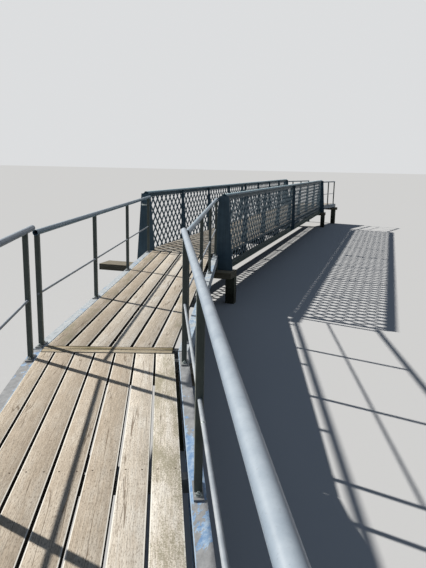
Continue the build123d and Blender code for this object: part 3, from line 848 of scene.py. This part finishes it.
# %% [markdown]
# ## Nails
# Every board is nailed twice to each bearer under it, and the cross planks to the three
# stringers. A nail head is 10 mm wide and almost flush. Dots in the wood's pattern would be less
# work, but wouldn't catch the low sun. A small scatter keeps the rows from looking printed.

# %% Nails in the boards
NAIL_R, NAIL_H, NAIL_SUNK, NAIL_STRAY = 0.0048, 0.0014, 0.0003, 0.003
# A nail's distance from a board's edge, and a bearer's from the post before it
NAIL_EDGE, BEARER_PAST_POST = 0.03, 0.21
STRINGERS, NAIL_PAIR = (-0.48, 0.0, 0.48), 0.04
nail_places = []


def nail(floor, x, y):
    """Sets one nail near a place on a floor."""
    spot = (x + rng.normal(0, NAIL_STRAY), y + rng.normal(0, NAIL_STRAY), -NAIL_SUNK)
    nail_places.append(floor @ Matrix.Translation(spot))


# The bearers' places along each walk
rows_of = (
    (SHORE, shore_outlines, [y + BEARER_PAST_POST for y in shore_right[:-1]] + [-0.165]),
    (NEAR, near_outlines, [0.189, *(y + BEARER_PAST_POST for y in near_right[1:3]), 5.305]),
    (FAR, far_outlines, [0.6, 1.09, 1.79]),
)
for floor, outlines, rows in rows_of:
    for outline in outlines:
        for y in rows:
            if outline[0][1] < y < outline[2][1]:
                for x in (outline[0][0] + NAIL_EDGE, outline[1][0] - NAIL_EDGE):
                    nail(floor, x, y)
for outline in cross:
    y = (min(p[1] for p in outline) + max(p[1] for p in outline)) / 2
    for x in STRINGERS:
        for d in (-NAIL_PAIR, NAIL_PAIR):
            nail(MAIN, x, y + d)
scatter("board_nails", turned(dome(NAIL_R, NAIL_H, steps=2), sides=8), nail_places, rusty_iron,
        crease=60)

# %% [markdown]
# ## Rivets
# Every crossing of the lattice bars is held by one rivet, whose two heads show on both faces, and
# the angle legs of the chords are riveted through at a steady pitch. The heads are only a few
# pixels wide, so each has two rings of seven faces. None sits where a stiffener plate covers the
# place.

# %% Rivets of the girders
RIVET_R, RIVET_H = 0.011, 0.007
# Each row has seventeen crossings to a panel of two bays, with five rows above the middle one and
# five below it
CROSSINGS, ROWS = 17, 5
BAR_FACE, LATTICE_MID = 0.007, 0.375
CHORD_ROWS, CHORD_START, CHORD_PITCH = (0.995, -0.225), 0.07, 0.1
STIFFENER_HALF = 0.02
# Half the distance between the crossings of a row
lattice_step = 2 * BAY / CROSSINGS / 2


def from_bay_line(y):
    """Distance along the span to the nearest bay line."""
    return abs(y / BAY - round(y / BAY)) * BAY


for side_name, x0 in (("left", -GIRDER_X), ("right", GIRDER_X)):
    places = []
    for face in (-1, 1):
        turn = Matrix.Rotation(face * pi / 2, 4, "Y")
        for i in range(1, round(SPAN / lattice_step)):
            y = i * lattice_step
            hidden = face * x0 < 0 and from_bay_line(y) < STIFFENER_HALF
            for j in range(-ROWS, ROWS + 1):
                if (i + j) % 2 == 0 and not hidden:
                    spot = (x0 + face * BAR_FACE, y, LATTICE_MID + j * lattice_step)
                    places.append(MAIN @ Matrix.Translation(spot) @ turn)
        for z in CHORD_ROWS:
            for i in range(int(SPAN / CHORD_PITCH)):
                y = CHORD_START + i * CHORD_PITCH
                if from_bay_line(y) > STIFFENER_HALF:
                    spot = (x0 + face * LEG_FACE, y, z)
                    places.append(MAIN @ Matrix.Translation(spot) @ turn)
    scatter(f"{side_name}_rivets", turned(dome(RIVET_R, RIVET_H, steps=2), sides=7), places,
            girder_paint, crease=60)

# %% [markdown]
# ## Studio
# The bridge stands on a plain pale floor. Low sun from the left, as in the photograph, gives long
# crisp shadows of the railings, and a weak sky fills them. The floor and the sky look pale to the
# camera and in reflections, and are darker to the light that bounces off them, so that the
# undersides and the gaps between the boards stay deep. Light Path tells these rays apart.

# %% Floor
FLOOR_SEEN, FLOOR_BOUNCE, FLOOR_HALF = "#D6D8DB", "#484A44", 400


def seen(owner):
    """1 for what the camera sees, also by way of gloss or glass, and 0 for bounced light."""
    camera, glossy, through = (add(owner, "ShaderNodeLightPath", out=f"Is {ray} Ray")
                               for ray in ("Camera", "Glossy", "Transmission"))
    either = add(owner, MATH, {0: camera, 1: glossy}, operation="ADD", use_clamp=True)
    return add(owner, MATH, {0: either, 1: through}, operation="ADD", use_clamp=True)


pale_floor, shader = new_finish("pale_floor", roughness=0.9, gloss=0.0)
tint = add(pale_floor, MIX, {SHARE: seen(pale_floor), BASE: FLOOR_BOUNCE, COAT: FLOOR_SEEN},
           **COLOURS)
feed(pale_floor, shader, Base_Color=tint)
floor_bm = bmesh.new()
bmesh.ops.create_grid(floor_bm, x_segments=1, y_segments=1, size=FLOOR_HALF)
mesh = bpy.data.meshes.new("studio_floor")
floor_bm.to_mesh(mesh)
floor_bm.free()
mesh.materials.append(pale_floor)
studio_floor = bpy.data.objects.new("studio_floor", mesh)
bpy.context.scene.collection.objects.link(studio_floor)
print("a floor of", 2 * FLOOR_HALF, "m")

# %% [markdown]
# The sky is one even colour: pale where the camera looks past the floor, and a weak blue as
# light, which only fills the shadows.

# %% Sky
SKY_SEEN, SKY_FILL = (0.72, 0.73, 0.74, 1.0), (0.085, 0.105, 0.135, 1.0)
sky = bpy.data.worlds.new("studio")
bpy.context.scene.world = sky
sky.use_nodes = True
background = sky.node_tree.nodes["Background"]
tint = add(sky, MIX, {SHARE: seen(sky), BASE: SKY_FILL, COAT: SKY_SEEN}, **COLOURS)
sky.node_tree.links.new(tint, background.inputs["Color"])
background.inputs["Strength"].default_value = 1.0
sky_share = sum(SKY_FILL[:3]) / 3
print("the sky lights a level surface at", round(sky_share, 3))

# %% [markdown]
# The sun's direction comes from the shadows of the posts on the boards. Its strength and the
# sky's together light a level surface at about one, so a board renders in the colour it was
# given.

# %% Sun
SUN_BEARING, SUN_HEIGHT, SUN_WIDTH = radians(-74.2), radians(31.9), radians(0.8)
SUN_STRENGTH, SUN_COLOUR, SUN_AWAY = 5.15, (1.0, 0.95, 0.87), 30
sun_data = bpy.data.lights.new("sun", "SUN")
sun_data.energy = SUN_STRENGTH
sun_data.angle = SUN_WIDTH
sun_data.color = SUN_COLOUR
sun = bpy.data.objects.new("sun", sun_data)
bpy.context.scene.collection.objects.link(sun)
toward = Vector((sin(SUN_BEARING) * cos(SUN_HEIGHT), cos(SUN_BEARING) * cos(SUN_HEIGHT),
                 sin(SUN_HEIGHT)))
sun.rotation_euler = toward.to_track_quat("Z", "Y").to_euler()
sun.location = toward * SUN_AWAY
sun_share = SUN_STRENGTH * sin(SUN_HEIGHT) / pi
print("light on a level surface:", round(sun_share + sky_share, 2))

# %% [markdown]
# The camera stands on the shore approach, a little above the right-hand rail, and looks down
# along the bend. Its lens follows from the picture's height of 568 pixels and the focal length of
# 570.4 pixels that the lines of boards and rails gave.

# %% Camera
SENSOR, FOCAL_PIXELS, PICTURE_PIXELS = 36, 570.4, 568
CAMERA_X, CAMERA_Y, CAMERA_Z = 3.474, -9.627, 1.524
PAN, DIP, TILT = 16.826, 11.646, 1.136
NEAREST, FARTHEST = 0.05, 1000
camera_data = bpy.data.cameras.new("photo_view")
camera_data.sensor_width = SENSOR
camera_data.lens = FOCAL_PIXELS / PICTURE_PIXELS * SENSOR
camera_data.clip_start = NEAREST
camera_data.clip_end = FARTHEST
camera = bpy.data.objects.new("photo_view", camera_data)
bpy.context.scene.collection.objects.link(camera)
stand = Matrix.Translation((CAMERA_X + MID_X, CAMERA_Y + START_Y, FLOOR + CAMERA_Z))
aim = Matrix.Rotation(radians(PAN), 4, "Z") @ Matrix.Rotation(radians(90 - DIP), 4, "X")
camera.matrix_world = stand @ aim @ Matrix.Rotation(radians(TILT), 4, "Z")
bpy.context.scene.camera = camera
bpy.context.scene.view_settings.view_transform = "Standard"
print("lens of", round(camera_data.lens, 2), "mm")
